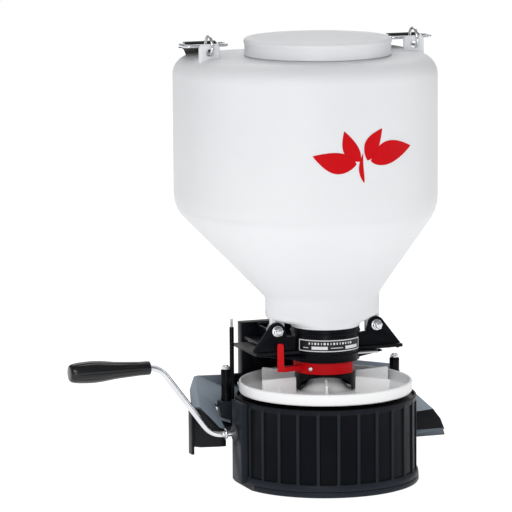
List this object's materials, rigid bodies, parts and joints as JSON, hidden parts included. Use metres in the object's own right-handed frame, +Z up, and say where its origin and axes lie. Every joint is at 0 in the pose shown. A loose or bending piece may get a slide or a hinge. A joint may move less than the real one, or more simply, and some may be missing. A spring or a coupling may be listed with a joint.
{
  "type": "garden spreader",
  "caption": "Chest-carried, hand-cranked broadcast spreader with a white hopper, geared impeller, shutter, red direction control, rear guard and shoulder strap.",
  "frame": {"origin": "centre of the base cover's underside", "axes": "+Z up, -Y away from the wearer, crank on the -X side"},
  "size_m": [0.464, 0.3005, 0.5183],
  "materials": {
    "black_plastic": "moulded, slightly glossy",
    "white_poly": "blow-moulded, semi-matte",
    "white_nylon": "moulded, smooth",
    "red_plastic": "moulded, glossy",
    "bright_steel": "bright plated",
    "dark_gear": "moulded nylon",
    "bronze_bush": "sintered",
    "black_webbing": "woven",
    "label_print": "printed film",
    "grey_rubber": "soft, dull"
  },
  "bodies": {
    "root": {"hopper": "white_poly", "frame_head": "black_plastic", "ear_bolt_left": "bright_steel", "ear_bolt_right": "bright_steel", "ear_nut_left": "bright_steel", "ear_nut_right": "bright_steel", "direction_label": "label_print", "spine": "black_plastic", "spine_screw_1": "bright_steel", "spine_screw_2": "bright_steel", "spine_screw_3": "bright_steel", "spine_screw_4": "bright_steel", "upper_bush": "bronze_bush", "lower_bush": "bronze_bush", "crank_bush": "bronze_bush", "drum_housing": "black_plastic", "base_cover": "black_plastic", "base_screw_1": "bright_steel", "base_screw_2": "bright_steel", "base_screw_3": "bright_steel", "base_screw_4": "bright_steel", "body_shield": "black_plastic", "post_left": "black_plastic", "post_right": "black_plastic", "post_bolt_left": "bright_steel", "post_bolt_right": "bright_steel", "stay_rod": "bright_steel", "stay_sleeve": "black_plastic", "shoulder_strap": "black_webbing"},
    "crank": {"crank_rod": "bright_steel", "crank_gear": "dark_gear", "crank_washer": "bright_steel"},
    "grip": {"crank_grip": "black_plastic"},
    "impeller": {"impeller": "white_nylon", "impeller_shaft": "bright_steel", "pinion": "dark_gear", "agitator": "bright_steel"},
    "direction": {"direction_ring": "red_plastic", "direction_screw": "bright_steel", "drop_cup": "black_plastic"},
    "shutter": {"shutter_plate": "bright_steel", "shutter_knob": "black_plastic"},
    "lid": {"lid": "white_poly", "lid_seal": "grey_rubber"},
    "hook_left": {"hook_left": "bright_steel", "strap_ring_left": "bright_steel"},
    "hook_right": {"hook_right": "bright_steel", "strap_ring_right": "bright_steel"}
  },
  "joints": [
    {"name": "crank_turn", "type": "hinge", "parent": "root", "child": "crank", "pos_m": [-0.1105, 0, 0.0628], "axis": [1, 0, 0], "continuous": true},
    {"name": "grip_spin", "type": "hinge", "parent": "crank", "child": "grip", "pos_m": [-0.213, 0, 0.1458], "axis": [1, 0, 0], "continuous": true},
    {"name": "impeller_spin", "type": "hinge", "parent": "root", "child": "impeller", "pos_m": [0, 0, 0.1044], "axis": [0, 0, 1], "continuous": true},
    {"name": "direction_swing", "type": "hinge", "parent": "root", "child": "direction", "pos_m": [0, 0, 0.1295], "axis": [0, 0, 1], "range_deg": [0, 75]},
    {"name": "shutter_pull", "type": "slide", "parent": "root", "child": "shutter", "axis": [1, 0, 0], "range_m": [0, 0.044]},
    {"name": "lid_lift", "type": "slide", "parent": "root", "child": "lid", "axis": [0, 0, 1], "range_m": [0, 0.06]},
    {"name": "hook_left_swing", "type": "hinge", "parent": "root", "child": "hook_left", "pos_m": [-0.1255, 0.0375, 0.4975], "axis": [1, 0, 0], "range_deg": [-15, 12]},
    {"name": "hook_right_swing", "type": "hinge", "parent": "root", "child": "hook_right", "pos_m": [0.1255, 0.0375, 0.4975], "axis": [1, 0, 0], "range_deg": [-15, 12]}
  ],
  "couplings": [
    {"joint": "impeller_spin", "follows": "crank_turn", "ratio": -3.6667}
  ]
}
